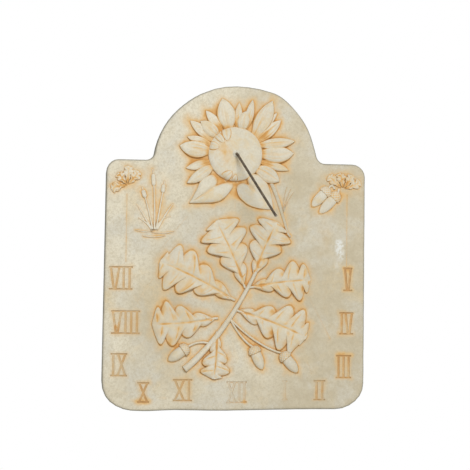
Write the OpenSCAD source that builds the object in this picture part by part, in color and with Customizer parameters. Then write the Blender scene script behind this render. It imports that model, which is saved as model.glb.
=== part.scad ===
// Cast stone wall sundial: a slab with a domed head, raised ornament, sunk numerals and a bent rod gnomon.
// Millimetres. +Z is up, +X is right, the face looks along -Y and the wall plane is y = 0.
// The origin is the mouth of the hanging hole, on the wall plane.

/* [Slab] */
// Height from the bottom edge to the top of the dome
slab_height = 380; // [376:1:386]
// Width across the straight sides
slab_width = 306; // [302:1:312]
// Thickness from the wall to the flat of the face
slab_thickness = 25; // [22:1:32]
// Round on the front edge
edge_round = 4; // [2:0.5:6]
// Small bevel on the back edge
back_bevel = 1.5; // [0.5:0.5:2]
// Radius of the dome's flanks
dome_flank_radius = 93; // [90:1:94]
// How far each flank's centre stands from the middle
dome_flank_offset = 4; // [3:0.5:5]
// Radius of the round under the dome, where it meets the shoulder
neck_round = 10; // [7:1:12]
// Radius of the shoulder corners
shoulder_round = 15; // [8:1:18]
// Radius of the bottom corners
foot_round = 34; // [20:1:36]

/* [Hanging] */
// Bore of the blind hanging hole, for a nail or a screw head
hanging_bore = 10; // [9:0.5:12]
// Depth of the hanging hole
hanging_depth = 15; // [12:1:16]
// Distance from the top of the dome down to the hanging hole
hanging_drop = 45; // [40:1:50]

/* [Gnomon] */
// Thickness of the steel rod
rod_diameter = 3; // [2.5:0.1:3.5]
// Length of the rod's straight arm
rod_arm = 108; // [90:1:120]
// Angle between the arm and the line straight out of the face
rod_tilt = 50; // [42:1:55]
// Swing of the arm from straight down towards the right
rod_swing = 25.5; // [0:0.5:30]
// Inside bend radius of the rod, on its centre line
rod_bend = 6; // [5:0.5:8]
// Depth of the drilled hole that takes the rod's foot
socket_depth = 16; // [12:1:17]
// Bore of the drilled hole, filled with resin round the rod
socket_bore = 8; // [7:0.5:10]
// Distance from the top of the dome down to the middle of the drawing, beside the gnomon's root
root_drop = 79; // [78:0.5:80]

/* [Relief] */
// Height of the flower's seed disc
disc_relief = 7; // [6:0.5:8]
// Radius of the flower's seed disc
disc_radius = 32; // [31.5:0.5:32]
// Height of the petals and the flower's leaves
petal_relief = 5.2; // [4.5:0.1:5.5]
// Height of the oak leaves
oak_relief = 6; // [5:0.1:7]
// Height of the small corner ornament
spray_relief = 2.6; // [2:0.1:3]

/* [Sunk work] */
// Depth of the sunk numerals
numeral_depth = 1.4; // [0.8:0.1:2]
// Width of the numerals' strokes
stroke_width = 2.6; // [2.2:0.1:3]
// Width of the serif bars
serif_width = 1.7; // [1.2:0.1:2]
// Depth of the hour lines
line_depth = 0.7; // [0.5:0.1:1]
// Width of the hour lines
line_width = 1.2; // [0.8:0.1:1.6]
// Thickness of the ochre wash that lies in the numerals and the lines
wash_thickness = 0.4; // [0.2:0.1:0.4]

/* [Hidden] */
half_width = slab_width / 2;
top_z = hanging_drop;
foot_z = top_z - slab_height;
root_z = top_z - root_drop;
shoulder_below_root = 10;
shoulder_z = root_z - shoulder_below_root;

// The dome is an arch of three centres: two flanks and a flatter crown between them.
crown_angle = 25;
crown_radius = dome_flank_radius + dome_flank_offset / sin(crown_angle);
flank_z = top_z - crown_radius + (crown_radius - dome_flank_radius) * cos(crown_angle);
crown_z = top_z - crown_radius;
neck_z = shoulder_z + neck_round;
neck_reach = dome_flank_radius + neck_round;
neck_x = dome_flank_offset + sqrt(pow(neck_reach, 2) - pow(neck_z - flank_z, 2));
neck_angle = asin((neck_z - flank_z) / neck_reach);
edge_steps = 4;

stone = [0.84, 0.80, 0.69];
raised_stone = [0.88, 0.84, 0.74];
ochre_wash = [0.80, 0.62, 0.38];
steel = [0.28, 0.26, 0.24];
resin = [0.80, 0.79, 0.72];
stud_taper = 0.55;
bond_gap = 0.02;
seat_gap = 0.1;

// Shared helpers

// Points of an arc, from angle a0 to a1 in equal steps.
function arc(centre, r, a0, a1, steps) = [
    for (i = [0 : steps])
        let (a = a0 + (a1 - a0) * i / steps)
            [centre.x + r * cos(a), centre.y + r * sin(a)]
];

// Points of a smooth curve through a start, a pull point and an end.
function bow(a, pull, b, steps) = [
    for (i = [0 : steps])
        let (t = i / steps)
            pow(1 - t, 2) * a + 2 * t * (1 - t) * pull + pow(t, 2) * b
];

function polar(r, angle) = [r * cos(angle), r * sin(angle)];

// The gnomon's root, which the hour lines run to.
dial_centre = [-1.2, -1.8];

// Moves a drawing made flat, x right and y up, on to the face of the slab.
module on_face() {
    translate([0, -slab_thickness, root_z])
        rotate([90, 0, 0])
            children();
}

module at_dial_centre() {
    translate([dial_centre.x, dial_centre.y, 0])
        children();
}

// The convex solid round a list of points.
module wrap(points) {
    hull()
        polyhedron(points, [[for (i = [0 : len(points) - 1]) i]]);
}

// A small tapered post, used as the cross-section of stems and lobes.
module stud(place, width, height, sides = 6) {
    translate([place.x, place.y, 0])
        cylinder(d1 = width, d2 = width * stud_taper, h = height, $fn = sides);
}

// A raised strand that follows a path and changes evenly from one width to another.
module strand(path, width_a, width_b, height) {
    last = len(path) - 1;
    for (i = [0 : last - 1])
        hull() {
            stud(path[i], width_a + (width_b - width_a) * i / last, height);
            stud(path[i + 1], width_a + (width_b - width_a) * (i + 1) / last, height);
        }
}

// Lays something drawn along +y between two points.
module between(a, b) {
    run = b - a;
    translate([a.x, a.y, 0])
        rotate(atan2(run.y, run.x) - 90)
            children();
}

// Slab

// Right half of the outline, from the bottom corner up to the crown, set in by a given amount.
function half_outline(inset) = concat(
    arc([half_width - foot_round, foot_z + foot_round], foot_round - inset, -90, 0, 6),
    arc([half_width - shoulder_round, shoulder_z - shoulder_round], shoulder_round - inset, 0, 90, 5),
    arc([neck_x, neck_z], neck_round + inset, 270, 180 + neck_angle, 5),
    arc([dome_flank_offset, flank_z], dome_flank_radius - inset, neck_angle, 90 - crown_angle, 11)
);

function outline(inset) =
    let (right = half_outline(inset), last = len(right) - 1)
        concat(
            right,
            arc([0, crown_z], crown_radius - inset, 90 - crown_angle + 10, 90 + crown_angle - 10, 4),
            [for (i = [last : -1 : 0]) [-right[i].x, right[i].y]]
        );

// Each ring of the slab's skin is the outline set in by the first value, at the depth of the second.
slab_rings = concat(
    [[back_bevel, 0], [0, -back_bevel]],
    [
        for (i = [0 : edge_steps])
            let (a = 90 * i / edge_steps)
                [edge_round * (1 - cos(a)), edge_round * (1 - sin(a)) - slab_thickness]
    ]
);

module slab_body() {
    count = len(outline(0));
    points = [
        for (ring = slab_rings)
            for (p = outline(ring[0]))
                [p.x, ring[1], p.y]
    ];
    sides = [
        for (r = [0 : len(slab_rings) - 2])
            for (i = [0 : count - 1])
                let (j = (i + 1) % count)
                    [r * count + i, r * count + j, (r + 1) * count + j, (r + 1) * count + i]
    ];
    first = (len(slab_rings) - 1) * count;
    back = [for (i = [count - 1 : -1 : 0]) i];
    front = [for (i = [0 : count - 1]) first + i];
    polyhedron(points, concat(sides, [back, front]));
}

module stone_slab() {
    color(stone)
        difference() {
            slab_body();
            rotate([-90, 0, 0])
                translate([0, 0, -hanging_depth])
                    cylinder(d = hanging_bore, h = hanging_depth + 1, $fn = 48);
            on_face() {
                at_dial_centre()
                    translate([0, 0, -socket_depth])
                        cylinder(d = socket_bore, h = socket_depth + 1, $fn = 48);
                numeral_grooves();
                line_grooves();
            }
        }
}

// Sunflower

flower_centre = [-1.9, -1.5];
dome_power = 2.6;
petal_root = 26;

// Profile of the low dome with its steep rim.
disc_profile = concat(
    [[0, 0]],
    [
        for (a = [0 : 11.25 : 90])
            [disc_radius * pow(cos(a), 2 / dome_power), disc_relief * pow(sin(a), 2 / dome_power)]
    ]
);

module disc_dome() {
    translate([flower_centre.x, flower_centre.y, 0])
        rotate_extrude($fn = 72)
            polygon(disc_profile);
}

module flower_disc() {
    color(raised_stone)
        on_face()
            difference() {
                disc_dome();
                at_dial_centre()
                    translate([0, 0, -1])
                        cylinder(d = socket_bore, h = disc_relief + 2, $fn = 48);
            }
}

// Room that the petals and leaves leave for the disc.
module disc_room() {
    translate([flower_centre.x, flower_centre.y, -1])
        cylinder(r = disc_radius + seat_gap, h = disc_relief + 2, $fn = 72);
}

// Stations along a petal: place, share of its half width, share of its height.
petal_stations = [
    [0, 0.42, 0.45],
    [0.33, 0.92, 1],
    [0.62, 0.94, 0.9],
    [0.86, 0.5, 0.64],
    [1, 0.05, 0.4]
];
crease_share = 0.72;
crown_share = 0.5;
rim_share = 0.45;
draft_share = 0.94;

// One petal along +y: two convex halves that meet in a crease.
module petal(length, width, relief) {
    for (side = [-1, 1])
        wrap([
            for (s = petal_stations)
                let (x = side * s[1] * width / 2, y = s[0] * length, h = s[2] * relief)
                    each [
                        [0, y, 0],
                        [0, y, h * crease_share],
                        [x * crown_share, y, h],
                        [x * draft_share, y, h * rim_share],
                        [x, y, 0]
                    ]
        ]);
}

// Petals as root angle, tip angle, reach of the tip from the flower's centre, and width.
front_row = [
    [107, 103.9, 66.7, 22.5],
    [74, 76.3, 52.3, 15],
    [41, 55.9, 76.6, 20.5],
    [26, 13.4, 72, 13.5],
    [4, 1.9, 69, 21],
    [-33, -30.6, 60.7, 19.5],
    [205, 212, 66.1, 14],
    [173, 172.7, 65.9, 20],
    [136, 137.8, 55.9, 16]
];
back_row = [
    [84, 86.2, 60.7, 10],
    [70, 72.9, 67.5, 11],
    [42, 45.6, 70, 10],
    [30, 37.8, 67.4, 14],
    [-16, -15.7, 65.8, 10],
    [195, 197, 60.1, 11],
    [161, 161.4, 60, 10],
    [152, 144.7, 65.6, 13],
    [126, 125, 61.2, 12.5]
];
back_row_share = 0.62;
room_gap = 0.25;

// Lays a child along each petal of a row, from its root to its tip.
module along_petal(p) {
    between(flower_centre + polar(petal_root, p[0]), flower_centre + polar(p[2], p[1]))
        children();
}

function petal_length(p) = norm(polar(p[2], p[1]) - polar(petal_root, p[0]));

module petal_row(row, relief) {
    for (p = row)
        along_petal(p)
            petal(petal_length(p), p[3], relief);
}

// Room that whatever lies behind the front petals leaves for them: their outlines, a little enlarged.
module front_petal_rooms() {
    for (p = front_row)
        along_petal(p) {
            side = [
                for (s = petal_stations)
                    [s[1] * p[3] / 2 + room_gap, s[0] * (petal_length(p) + room_gap)]
            ];
            translate([0, 0, -1])
                linear_extrude(petal_relief + 2)
                    polygon(concat(side, [for (i = [len(side) - 1 : -1 : 0]) [-side[i].x, side[i].y]]));
        }
}

module front_petals() {
    color(raised_stone)
        on_face()
            difference() {
                petal_row(front_row, petal_relief);
                disc_room();
            }
}

module back_petals() {
    color(raised_stone)
        on_face()
            difference() {
                petal_row(back_row, petal_relief * back_row_share);
                disc_room();
                front_petal_rooms();
            }
}

// Small curled petals that fold over the rim of the disc: angle and width.
florets = [[108, 9], [128, 11], [162, 10], [250, 10], [268, 9]];
floret_outer = 31;
floret_inner = 16;
floret_rise = 1;

module disc_florets() {
    color(raised_stone)
        on_face()
            difference() {
                for (f = florets)
                    between(
                        flower_centre + polar(floret_outer, f[0]),
                        flower_centre + polar(floret_inner, f[0] + 7)
                    )
                        petal(floret_outer - floret_inner, f[1], disc_relief + floret_rise);
                disc_dome();
                translate([0, 0, -1])
                    cube([200, 200, 4], center = true);
            }
}

// Half outline of a heart-shaped leaf, as shares of its width and length, from the notch to the tip.
heart_edge = [
    [0, 0], [0.14, -0.13], [0.3, -0.17], [0.44, -0.06], [0.5, 0.14],
    [0.45, 0.4], [0.29, 0.68], [0.12, 0.88], [0, 1]
];
heart_crown = [[0.2, -0.06], [0.28, 0.2], [0.2, 0.5], [0.08, 0.78]];

// The two halves run back beyond the notch by their own shares.
module heart_leaf(length, width, relief, backs) {
    for (half = [0, 1])
        let (
            side = 2 * half - 1,
            edge = [for (p = heart_edge) [side * p.x * width, length * p.y * (p.y < 0 ? backs[half] : 1)]]
        )
        wrap(concat(
            [for (p = edge) [p.x, p.y, 0]],
            [for (p = edge) [p.x * draft_share, p.y * 0.98, relief * rim_share]],
            [for (p = heart_crown) [side * p.x * width, p.y * length, relief * (1 - 0.3 * p.y)]]
        ));
}

// The flower's leaves as notch, tip, width and how far the left and right halves run back.
heart_leaves = [
    [[-23, -38], [-55, -59.5], 34, [2.3, 0.6]],
    [[13, -36], [43, -65], 36, [0.9, 0.9]]
];

module flower_leaf_solids() {
    for (leaf = heart_leaves)
        between(leaf[0], leaf[1])
            heart_leaf(norm(leaf[1] - leaf[0]), leaf[2], petal_relief, leaf[3]);
}

module flower_leaves() {
    color(raised_stone)
        on_face()
            difference() {
                flower_leaf_solids();
                disc_room();
                front_petal_rooms();
            }
}

stem_path = concat(
    bow([36, -24], [45, -40], [50, -57], 4),
    [[54, -69], [58, -82], [64, -97]]
);
grass_blades = [
    [[55, -66], [55, -52], [60, -38]],
    [[56, -68], [59, -55], [67, -43]]
];

module flower_stem() {
    color(raised_stone)
        on_face()
            difference() {
                union() {
                    strand(stem_path, 6.5, 3.6, 3);
                    for (blade = grass_blades)
                        strand(bow(blade[0], blade[1], blade[2], 3), 1.6, 0.8, 0.9);
                }
                flower_leaf_solids();
                disc_room();
                front_petal_rooms();
            }
}

// Oak

// Lobes of an oak leaf: place along the rib, share of the half width, share of the lobe's size.
large_lobes = [[0.13, 0.4, 0.6], [0.32, 0.72, 0.85], [0.53, 0.96, 1], [0.73, 0.74, 0.9]];
small_lobes = [[0.24, 0.7, 1.25], [0.58, 0.85, 1.35]];
lobe_sweep = 0.1;
lobe_share = 0.21;

// A lobed leaf along +y, made of a swelling for each lobe and one for the tip.
module leaf_lobes(length, width, relief, lobes, sides) {
    lobe_width = length * lobe_share;
    for (lobe = lobes, side = [-1, 1])
        hull() {
            stud([0, lobe[0] * length], lobe_width * 1.15 * lobe[2], relief * 0.92, sides);
            stud(
                [side * lobe[1] * width * 0.4, (lobe[0] + lobe_sweep) * length],
                lobe_width * lobe[2],
                relief * 0.68,
                sides
            );
        }
    hull() {
        stud([0, length * 0.66], lobe_width * 1.3, relief * 0.92, sides);
        stud([0, length * 0.89], lobe_width * 1.1, relief * 0.6, sides);
    }
}

// The raised rib of a large leaf, from its stalk towards its tip.
module leaf_rib(length, relief) {
    lobe_width = length * lobe_share;
    hull() {
        stud([0, -length * 0.04], lobe_width * 0.3, relief * 0.6);
        stud([0, length * 0.3], lobe_width * 0.42, relief * 1.1);
        stud([0, length * 0.9], lobe_width * 0.14, relief * 0.7);
    }
}

// The bough's leaves as root, tip and width.
bough_leaves = [
    [[22, -142], [48, -80], 52],
    [[10, -154], [-24, -80], 56],
    [[-4, -170], [-88, -128], 58],
    [[-24, -193], [-96, -200], 54],
    [[20, -156], [88, -147], 48],
    [[4, -184], [84, -214], 58],
    [[-21, -212], [-24, -263], 36]
];
bough_path = bow([-58, -252], [-12, -214], [24, -138], 7);

// An acorn along +y from the rim of its cup to its point, with the cup behind it.
module acorn(length, width, relief) {
    hull() {
        stud([0, 0], width, relief, 10);
        stud([0, length * 0.45], width * 0.98, relief, 10);
        stud([0, length * 0.75], width * 0.66, relief * 0.8, 10);
        stud([0, length * 0.97], width * 0.12, relief * 0.4, 6);
    }
    hull() {
        stud([0, -length * 0.02], width * 1.22, relief * 1.15, 10);
        stud([0, -length * 0.2], width * 1.1, relief * 1.15, 10);
        stud([0, -length * 0.34], width * 0.5, relief * 0.8, 6);
    }
}

// Acorns as the start of the stalk, the rim of the cup and the point.
bough_acorns = [
    [[-30, -222], [-60, -230], [-78, -243]],
    [[-6, -193], [24, -232], [33, -253]],
    [[-6, -193], [60, -238], [75, -256]]
];
acorn_width = 13;
stalk_width = 3;
stalk_sag = 8;

// The stalk ends inside the cup, which reaches this share of the nut's length behind its rim.
cup_share = 0.3;

module acorn_solids(acorns, relief) {
    for (a = acorns) {
        elbow = [(a[0].x + a[1].x) / 2, a[1].y + stalk_sag];
        stalk_end = a[1] - cup_share * (a[2] - a[1]);
        between(a[1], a[2])
            acorn(norm(a[2] - a[1]), acorn_width, relief);
        strand(bow(a[0], elbow, stalk_end, 3), stalk_width, stalk_width, relief * 0.5);
    }
}

module bough_leaf_solids() {
    for (leaf = bough_leaves)
        between(leaf[0], leaf[1]) {
            leaf_lobes(norm(leaf[1] - leaf[0]), leaf[2], oak_relief, large_lobes, 6);
            leaf_rib(norm(leaf[1] - leaf[0]), oak_relief);
        }
}

module oak_leaves() {
    color(raised_stone)
        on_face()
            difference() {
                bough_leaf_solids();
                acorn_solids(bough_acorns, oak_relief);
            }
}

module oak_stem() {
    color(raised_stone)
        on_face()
            difference() {
                strand(bough_path, 8, 4.5, oak_relief * 0.8);
                bough_leaf_solids();
                acorn_solids(bough_acorns, oak_relief);
            }
}

module oak_acorns() {
    color(raised_stone)
        on_face()
            acorn_solids(bough_acorns, oak_relief);
}

// Corner sprays: root and tip of each small leaf, and its width.
left_spray = [
    [[-128, -40], [-147, -45], 13],
    [[-128, -39], [-138, -26], 13],
    [[-127, -38], [-125, -18], 13],
    [[-126, -39], [-114, -24], 13]
];
right_spray = [
    [[124, -38], [109, -24], 13],
    [[126, -38], [123, -21], 13],
    [[127, -38], [137, -23], 12],
    [[128, -39], [147, -31], 12]
];

module spray(leaves) {
    for (leaf = leaves)
        between(leaf[0], leaf[1])
            leaf_lobes(norm(leaf[1] - leaf[0]), leaf[2], spray_relief, small_lobes, 5);
}

module spray_left() {
    color(raised_stone)
        on_face()
            spray(left_spray);
}

module spray_right() {
    color(raised_stone)
        on_face()
            spray(right_spray);
}

// A pair of acorns that hangs under the right spray.
hanging_acorns = [
    [[121, -42], [115, -51], [97, -70]],
    [[116, -40], [104, -45], [88, -62]]
];

module acorn_pair() {
    color(raised_stone)
        on_face()
            difference() {
                acorn_solids(hanging_acorns, spray_relief * 1.2);
                spray(right_spray);
            }
}

// Bulrushes on the left: foot, pull point and top of each stalk, then the curved blades.
rush_stalks = [
    [[-95, -91], [-94, -60], [-98, -21]],
    [[-93, -91], [-88, -60], [-84, -35]],
    [[-97, -91], [-102, -66], [-110, -42]]
];
rush_blades = [
    [[-92, -91], [-80, -68], [-73, -60]],
    [[-94, -91], [-85, -74], [-76, -76]],
    [[-98, -91], [-108, -74], [-116, -62]],
    [[-98, -91], [-104, -82], [-114, -78]]
];
ripples = [
    [[-117, -92], [-106, -95], [-95, -92]],
    [[-99, -94], [-86, -97], [-72, -93]],
    [[-108, -99], [-96, -101], [-82, -98]]
];
rush_head_width = 5.4;

module bulrushes() {
    color(raised_stone)
        on_face() {
            for (s = rush_stalks) {
                path = bow(s[0], s[1], s[2], 4);
                strand(path, 2.6, 1.4, spray_relief * 0.7);
                hull() {
                    stud(path[3], rush_head_width, spray_relief);
                    stud(path[3] * 0.28 + path[4] * 0.72, rush_head_width, spray_relief);
                }
            }
            for (b = rush_blades)
                strand(bow(b[0], b[1], b[2], 2), 3.4, 0.9, spray_relief * 0.6);
            for (r = ripples)
                strand(bow(r[0], r[1], r[2], 2), 1.4, 0.9, spray_relief * 0.4);
        }
}

// Dial

// The hour rays that still show, as the angle from straight down and the distances of their ends.
hour_rays = [
    [-37.5, 92, 142],
    [-33, 172, 206],
    [0, 52, 63],
    [0, 228, 257],
    [19.8, 256, 270],
    [28, 190, 242]
];

// The two fine upright lines under the sprays, as x, bottom and top.
drops = [[-127.3, -129, -50], [131, -131, -46]];

// Long blocks in the place of the hour rays, narrowed by some play on every side.
module ray_blocks(play, thickness) {
    for (ray = hour_rays)
        at_dial_centre()
            rotate(ray[0])
                translate([play - line_width / 2, play - ray[2], -line_depth])
                    cube([line_width - 2 * play, ray[2] - ray[1] - 2 * play, thickness]);
}

module drop_blocks(play, thickness) {
    for (d = drops)
        translate([d[0] - line_width / 2 + play, d[1] + play, -line_depth])
            cube([line_width - 2 * play, d[2] - d[1] - 2 * play, thickness]);
}

module line_grooves() {
    ray_blocks(0, line_depth + 1);
    drop_blocks(0, line_depth + 1);
}

module hour_lines() {
    color(ochre_wash)
        on_face()
            ray_blocks(bond_gap, wash_thickness);
}

module drop_lines() {
    color(ochre_wash)
        on_face()
            drop_blocks(bond_gap, wash_thickness);
}

// Numerals: letters, centre on the face, overall width and height.
numerals = [
    ["VII", [-133, -147.6], 27.5, 27],
    ["VIII", [-126.6, -198.4], 33, 27],
    ["IX", [-133.5, -247.2], 19, 26.5],
    ["X", [-105, -279], 13.5, 24],
    ["XI", [-59.8, -276.5], 22, 26.5],
    ["XII", [3, -278.7], 23.5, 26],
    ["I", [59.3, -276.6], 5.5, 25],
    ["II", [100, -276.6], 13.5, 26],
    ["III", [128.4, -247.7], 18, 27],
    ["IV", [131.3, -197.2], 16.5, 26],
    ["V", [132.7, -145.7], 10.5, 27.5]
];

letter_margin = 0.4;
// Half the distance between the feet of a V's two strokes
foot_spread = 0.9;

// A lone stroke is one share wide, a slanted pair two.
function letter_share(letter) = letter == "I" ? 1 : 2;
function share_before(letters, i) =
    i == 0 ? 0 : share_before(letters, i - 1) + letter_share(letters[i - 1]);

// A straight stroke from the top edge to the bottom edge, narrowed by some play.
module stroke(x_top, x_foot, height, play, thickness) {
    side = stroke_width / 2 - play;
    end = height / 2 - play;
    linear_extrude(thickness)
        polygon([[x_top - side, end], [x_top + side, end], [x_foot + side, -end], [x_foot - side, -end]]);
}

// One letter in a box of the given width, centred on its own middle.
module letter_strokes(letter, width, height, play, thickness) {
    lean = (width - stroke_width) / 2 - letter_margin;
    if (letter == "I")
        stroke(0, 0, height, play, thickness);
    if (letter == "V") {
        stroke(-lean, -foot_spread, height, play, thickness);
        stroke(lean, foot_spread, height, play, thickness);
    }
    if (letter == "X") {
        stroke(-lean, lean, height, play, thickness);
        stroke(lean, -lean, height, play, thickness);
    }
}

// The strokes and the two serif bars of one numeral, up from the bottom of its grooves.
module numeral_strokes(entry, play, thickness) {
    letters = entry[0];
    width = entry[2];
    height = entry[3];
    unit = width / share_before(letters, len(letters));
    translate([entry[1].x, entry[1].y, -numeral_depth]) {
        for (i = [0 : len(letters) - 1]) {
            box = unit * letter_share(letters[i]);
            translate([share_before(letters, i) * unit + box / 2 - width / 2, 0, 0])
                letter_strokes(letters[i], box, height, play, thickness);
        }
        for (y = [-height / 2, height / 2 - serif_width])
            translate([play - width / 2, y + play, 0])
                cube([width - 2 * play, serif_width - 2 * play, thickness]);
    }
}

module numeral_grooves() {
    for (entry = numerals)
        numeral_strokes(entry, 0, numeral_depth + 1);
}

module numeral(index) {
    color(ochre_wash)
        on_face()
            numeral_strokes(numerals[index], bond_gap, wash_thickness);
}

// Gnomon

// Height above the face at which the rod leaves the seed disc and starts to bend.
bend_start = disc_relief + 1.5;
foot_embed = socket_depth - 1.5;
collar_height = 0.9;
collar_width = 10;

module gnomon_resin() {
    color(resin)
        on_face() at_dial_centre()
            difference() {
                union() {
                    translate([0, 0, -socket_depth])
                        cylinder(d = socket_bore - 2 * bond_gap, h = socket_depth + disc_relief, $fn = 48);
                    translate([0, 0, disc_relief])
                        cylinder(d1 = collar_width, d2 = rod_diameter + 2, h = collar_height, $fn = 48);
                }
                translate([0, 0, -foot_embed - bond_gap])
                    cylinder(d = rod_diameter + 2 * bond_gap, h = socket_depth + disc_relief + 4, $fn = 48);
            }
}

// Stations along the rod, in the plane of its bend: distance along the face, height, angle and
// share of the rod's radius.
rod_steps = 8;
rod_sides = 20;
tip_chamfer = 0.5;
function rod_station(reach, angle, share) = [
    rod_bend * (1 - cos(angle)) + reach * sin(angle),
    bend_start + rod_bend * sin(angle) + reach * cos(angle),
    angle,
    share
];
rod_stations = concat(
    [[0, -foot_embed, 0, 1]],
    [for (i = [0 : rod_steps]) rod_station(0, rod_tilt * i / rod_steps, 1)],
    [rod_station(rod_arm - tip_chamfer, rod_tilt, 1), rod_station(rod_arm, rod_tilt, 0.7)]
);

// The bent rod, as a ring of points at each station.
module gnomon_rod() {
    last = len(rod_stations) - 1;
    points = [
        for (s = rod_stations, j = [0 : rod_sides - 1])
            let (r = s[3] * rod_diameter / 2, across = r * cos(360 * j / rod_sides))
                [s[0] + across * cos(s[2]), r * sin(360 * j / rod_sides), s[1] - across * sin(s[2])]
    ];
    skin = [
        for (k = [0 : last - 1], j = [0 : rod_sides - 1])
            let (next = (j + 1) % rod_sides, a = k * rod_sides, b = (k + 1) * rod_sides)
                [a + j, b + j, b + next, a + next]
    ];
    foot_cap = [for (j = [0 : rod_sides - 1]) j];
    tip_cap = [for (j = [rod_sides - 1 : -1 : 0]) last * rod_sides + j];
    color(steel)
        on_face() at_dial_centre()
            rotate(rod_swing - 90)
                polyhedron(points, concat(skin, [foot_cap, tip_cap]));
}

// Parts

stone_slab();
flower_disc();
disc_florets();
front_petals();
back_petals();
flower_leaves();
flower_stem();
oak_leaves();
oak_stem();
oak_acorns();
spray_left();
spray_right();
bulrushes();
acorn_pair();
hour_lines();
drop_lines();
numeral(0);  // numeral_vii
numeral(1);  // numeral_viii
numeral(2);  // numeral_ix
numeral(3);  // numeral_x
numeral(4);  // numeral_xi
numeral(5);  // numeral_xii
numeral(6);  // numeral_i
numeral(7);  // numeral_ii
numeral(8);  // numeral_iii
numeral(9);  // numeral_iv
numeral(10);  // numeral_v
gnomon_resin();
gnomon_rod();
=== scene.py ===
import math
import random

import bmesh
import bpy
from mathutils import Matrix, Vector, noise
from mathutils.kdtree import KDTree


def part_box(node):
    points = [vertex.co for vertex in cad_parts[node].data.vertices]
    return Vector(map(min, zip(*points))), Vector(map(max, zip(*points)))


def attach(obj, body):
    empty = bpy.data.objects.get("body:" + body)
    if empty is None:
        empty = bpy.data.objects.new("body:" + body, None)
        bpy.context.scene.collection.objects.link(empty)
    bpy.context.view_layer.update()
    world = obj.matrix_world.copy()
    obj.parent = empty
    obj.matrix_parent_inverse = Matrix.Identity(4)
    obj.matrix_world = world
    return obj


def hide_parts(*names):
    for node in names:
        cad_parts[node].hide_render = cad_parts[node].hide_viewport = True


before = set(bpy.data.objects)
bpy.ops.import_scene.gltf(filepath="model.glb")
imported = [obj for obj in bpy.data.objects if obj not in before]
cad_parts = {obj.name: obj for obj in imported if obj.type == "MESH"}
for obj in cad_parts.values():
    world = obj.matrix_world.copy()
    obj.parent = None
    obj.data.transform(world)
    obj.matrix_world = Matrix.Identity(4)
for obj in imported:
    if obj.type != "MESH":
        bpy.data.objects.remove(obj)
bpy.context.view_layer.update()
print("frame loaded:", len(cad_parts), "nodes")

slabLow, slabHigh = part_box("stone_slab")

# The work is drawn flat in millimetres: x right and y up from a point beside the gnomon's root,
# z out of the face.
rootDrop = 0.079        # metres from the top of the head down to that point
millimetre = 0.001
drawingPlace = Vector(((slabLow.x + slabHigh.x) / 2, slabLow.y, slabHigh.z - rootDrop))
faceMatrix = Matrix.Translation(drawingPlace) @ Matrix.Rotation(math.pi / 2, 4, "X")
faceMatrix = faceMatrix @ Matrix.Scale(millimetre, 4)
dialCentre = Vector((-1.2, -1.8))   # the gnomon's root
footSink = 0.8          # how far raised work reaches into the slab


# Shared helpers

def polar(radius, angle):
    return Vector((radius * math.cos(math.radians(angle)), radius * math.sin(math.radians(angle))))


def bow(a, pull, b, t):
    return a * (1 - t) ** 2 + pull * (2 * t * (1 - t)) + b * t * t


def turned(v):  # a quarter turn to the left
    return Vector((-v.y, v.x))


def arc(*points):  # a bow between flat points, as a path
    ends = [Vector(p) for p in points]
    return lambda t: bow(*ends, t)


def taper(start, loss):
    return lambda t: start - loss * t


def heading(a, pull, b, t, step=0.01):  # the way that bow runs at t
    return (bow(a, pull, b, min(t + step, 1)) - bow(a, pull, b, max(t - step, 0))).normalized()


def clamp(x, low=0.0, high=1.0):
    return max(low, min(high, x))


def ramp(x, low, high):  # soft step from 0 at low to 1 at high
    t = clamp((x - low) / (high - low))
    return t * t * (3 - 2 * t)


def hump(x, width):
    return math.exp(-(x / width) ** 2)


def drift(x, y, size, seed):  # slow noise, about -1 to 1
    return noise.noise(Vector((x / size, y / size, seed * 7.3)))


def along(table, t):  # smooth curve through (place, value) stations
    last = len(table) - 1
    i = 0
    while i < last - 1 and t > table[i + 1][0]:
        i += 1
    (x0, y0), (x1, y1) = table[i], table[i + 1]
    before = table[max(i - 1, 0)]
    after = table[min(i + 2, last)]
    width = x1 - x0
    slopeA = (y1 - before[1]) / (x1 - before[0]) * width
    slopeB = (after[1] - y0) / (after[0] - x0) * width
    s = clamp((t - x0) / width)
    return (
        (2 * s ** 3 - 3 * s ** 2 + 1) * y0 + (s ** 3 - 2 * s ** 2 + s) * slopeA
        + (3 * s ** 2 - 2 * s ** 3) * y1 + (s ** 3 - s ** 2) * slopeB
    )


# Weathering of the whole casting, always inwards so that the CAD size holds

weathering = {
    "halfWidth": 153,
    "foot": 301,            # the bottom edge lies this far below the drawing's zero
    "shoulder": -34,        # the head begins above this
    "domeRadius": 95,
    "hollow": 0.3,          # how far the face dips between its high places
    "hollowSize": 38,
    "edgeLoss": 0.3,        # wear along the outline
    "leftShoulder": 1.4,    # the upper left side stands further in than the foot
    "rightFoot": 3.4,       # the lower right edge stands higher than the left
    "leftFoot": 1.8,        # the lower left corner is rounder than the right
    "footHollow": 1.7,      # dip in the bottom edge, left of its middle
    # the dome swells or draws in at these angles round its centre: angle, spread and amount
    "domeCentre": Vector((0, -15)),
    "dome": [(60, 13, 2.8), (16, 13, -1.8), (130, 20, -1.2)],
}


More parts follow.
